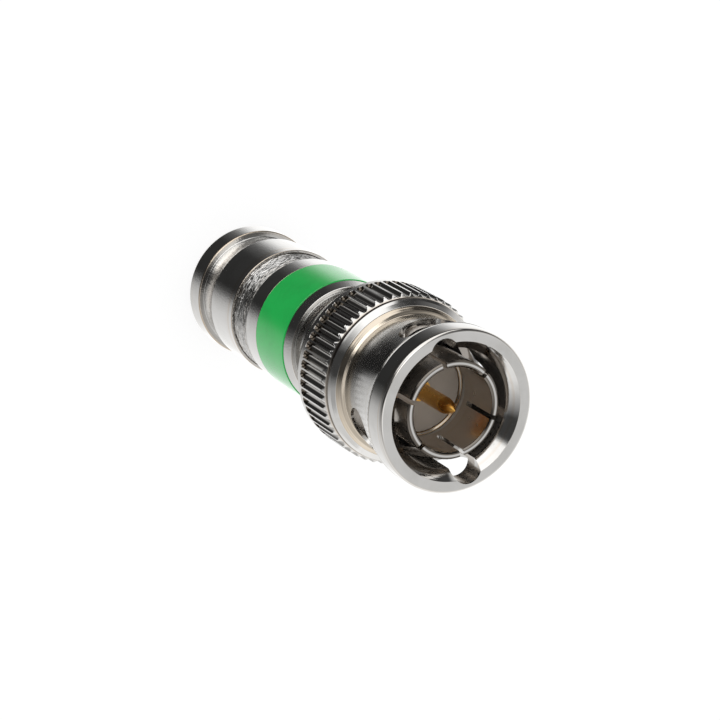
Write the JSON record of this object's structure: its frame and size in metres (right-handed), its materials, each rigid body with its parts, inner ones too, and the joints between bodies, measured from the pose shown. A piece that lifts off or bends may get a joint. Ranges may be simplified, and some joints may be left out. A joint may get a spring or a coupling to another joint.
{
  "type": "bnc compression connector",
  "caption": "Bayonet coax plug with a knurled turning nut, slotted outer contact, gold centre pin, colour band and a rear sleeve that slides forward to grip the cable.",
  "frame": {"origin": "centre of the cable end's flat face, where the plug stands", "axes": "+Z along the axis from the cable end to the mating face, +Y at one bayonet entry of the nut"},
  "size_m": [0.0144, 0.0144, 0.0394],
  "materials": {
    "nickel": "bright nickel plate on brass",
    "nickel_turned": "nickel plate on a finely turned, matt surface",
    "gold": "gold plate",
    "spring_steel": "rolled",
    "band_green": "satin green plastic",
    "insulator_white": "natural white fluoropolymer",
    "plastic_natural": "natural acetal",
    "seal_rubber": "black rubber"
  },
  "bodies": {
    "plug_body": {"main_body": "nickel", "colour_band": "band_green", "body_tail": "nickel_turned", "body_seal": "seal_rubber", "post": "nickel", "dielectric_stop": "plastic_natural", "conductor_guide": "plastic_natural", "rear_insulator": "insulator_white", "contact_pin": "gold", "contact_basket": "gold", "front_insulator": "insulator_white", "front_shell": "nickel", "outer_contact": "nickel", "mating_gasket": "seal_rubber", "wave_washers": "spring_steel"},
    "sleeve": {"compression_sleeve": "nickel", "grip_ring": "plastic_natural", "jacket_seal": "seal_rubber"},
    "thrust": {"thrust_washer": "spring_steel"},
    "nut": {"coupling_nut": "nickel"}
  },
  "joints": [
    {"name": "sleeve_compress", "type": "slide", "parent": "plug_body", "child": "sleeve", "axis": [0, 0, 1], "range_m": [0, 0.00295]},
    {"name": "nut_float", "type": "slide", "parent": "plug_body", "child": "thrust", "axis": [0, 0, 1], "range_m": [0, 0.0005], "stiffness_N_per_m": 4000, "springref_m": -0.0003, "deforming": ["wave_washers"]},
    {"name": "nut_turn", "type": "hinge", "parent": "thrust", "child": "nut", "pos_m": [0, 0, 0.031], "axis": [0, 0, 1], "continuous": true}
  ]
}
